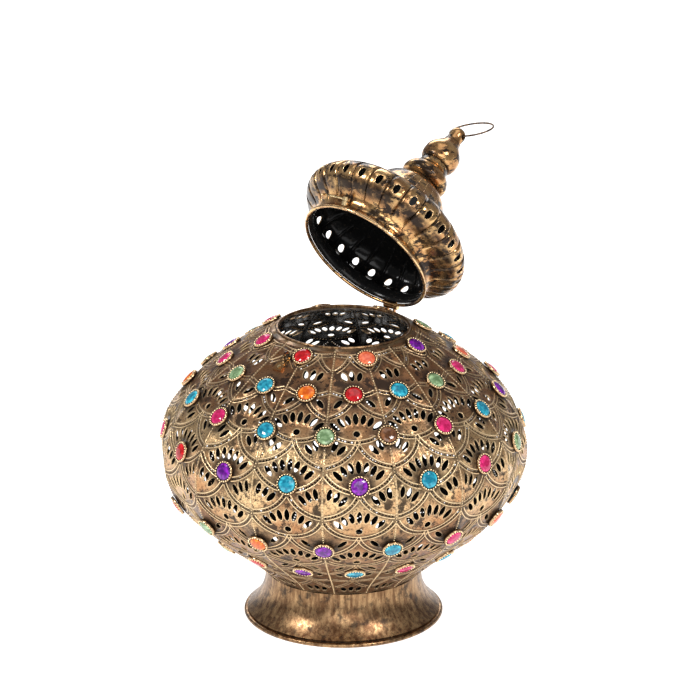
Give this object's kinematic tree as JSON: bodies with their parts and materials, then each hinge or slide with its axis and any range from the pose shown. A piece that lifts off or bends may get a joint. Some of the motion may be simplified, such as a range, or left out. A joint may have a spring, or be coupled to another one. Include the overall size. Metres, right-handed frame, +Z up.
{
  "type": "candle lantern",
  "caption": "Round-bellied pierced metal candle lantern on a flared foot, set with acrylic stones, with a hinged onion-dome lid, hook latch and wire hanging ring.",
  "frame": {"origin": "centre of the underside of the foot", "axes": "+Z up the body, +Y towards the hinge, -Y towards the hook latch"},
  "size_m": [0.2134, 0.2364, 0.2717],
  "materials": {
    "pierced_sheet": "pierced sheet, brushed antique gold over black",
    "antique_brass": "antique brass",
    "lid_bronze": "polished bronze with black patina",
    "setting_copper": "beaded copper-coloured cup",
    "bright_brass": "bright brass",
    "wire": "dull bronze wire",
    "black_enamel": "black",
    "stone_blue": "faceted acrylic",
    "stone_pink": "faceted acrylic",
    "stone_purple": "faceted acrylic",
    "stone_green": "faceted acrylic",
    "stone_orange": "faceted acrylic",
    "stone_coral": "faceted acrylic",
    "stone_red": "faceted acrylic",
    "stone_brown": "faceted acrylic"
  },
  "bodies": {
    "lantern_body": {"gore_01": "pierced_sheet", "gore_02": "pierced_sheet", "gore_03": "pierced_sheet", "gore_04": "pierced_sheet", "gore_05": "pierced_sheet", "gore_06": "pierced_sheet", "gore_07": "pierced_sheet", "gore_08": "pierced_sheet", "gore_09": "pierced_sheet", "gore_10": "pierced_sheet", "gore_11": "pierced_sheet", "gore_12": "pierced_sheet", "gore_13": "pierced_sheet", "gore_14": "pierced_sheet", "gore_15": "pierced_sheet", "gore_16": "pierced_sheet", "mouth_ring": "antique_brass", "lower_collar": "antique_brass", "base_plate": "black_enamel", "candle_pan": "black_enamel", "candle_cup": "black_enamel", "pan_rivets": "bright_brass", "foot_shell": "antique_brass", "foot_ring": "antique_brass", "settings_row_a": "setting_copper", "settings_row_b": "setting_copper", "settings_row_c": "setting_copper", "settings_row_d": "setting_copper", "settings_row_e": "setting_copper", "settings_row_f": "setting_copper", "stones_blue": "stone_blue", "stones_pink": "stone_pink", "stones_purple": "stone_purple", "stones_green": "stone_green", "stones_orange": "stone_orange", "stones_coral": "stone_coral", "stones_red": "stone_red", "stones_brown": "stone_brown", "hinge_body_leaf": "bright_brass", "hinge_pin": "bright_brass", "hinge_body_rivets": "bright_brass", "catch_eye": "bright_brass", "catch_rivet": "bright_brass"},
    "lid": {"lid_dome": "lid_bronze", "lid_shoulder": "lid_bronze", "lid_lip": "lid_bronze", "finial_bulb": "lid_bronze", "finial_ball": "lid_bronze", "finial_cap": "lid_bronze", "hinge_lid_leaf": "bright_brass", "hinge_lid_rivets": "bright_brass", "hook_post": "bright_brass"},
    "latch_hook": {"latch_hook": "bright_brass"},
    "hanging_ring": {"hanging_ring": "wire"}
  },
  "joints": [
    {"name": "lid_hinge", "type": "hinge", "parent": "lantern_body", "child": "lid", "pos_m": [0, 0.0432, 0.1772], "axis": [-1, 0, 0], "range_deg": [-57.6, 0]},
    {"name": "hook_pivot", "type": "hinge", "parent": "lid", "child": "latch_hook", "pos_m": [0, 0.00196, 0.2517], "axis": [0, 0.2181, 0.9759], "range_deg": [0, 90]},
    {"name": "ring_swing", "type": "hinge", "parent": "lid", "child": "hanging_ring", "pos_m": [0, 0.10372, 0.26677], "axis": [1, 0, 0], "range_deg": [-110, 160]}
  ]
}
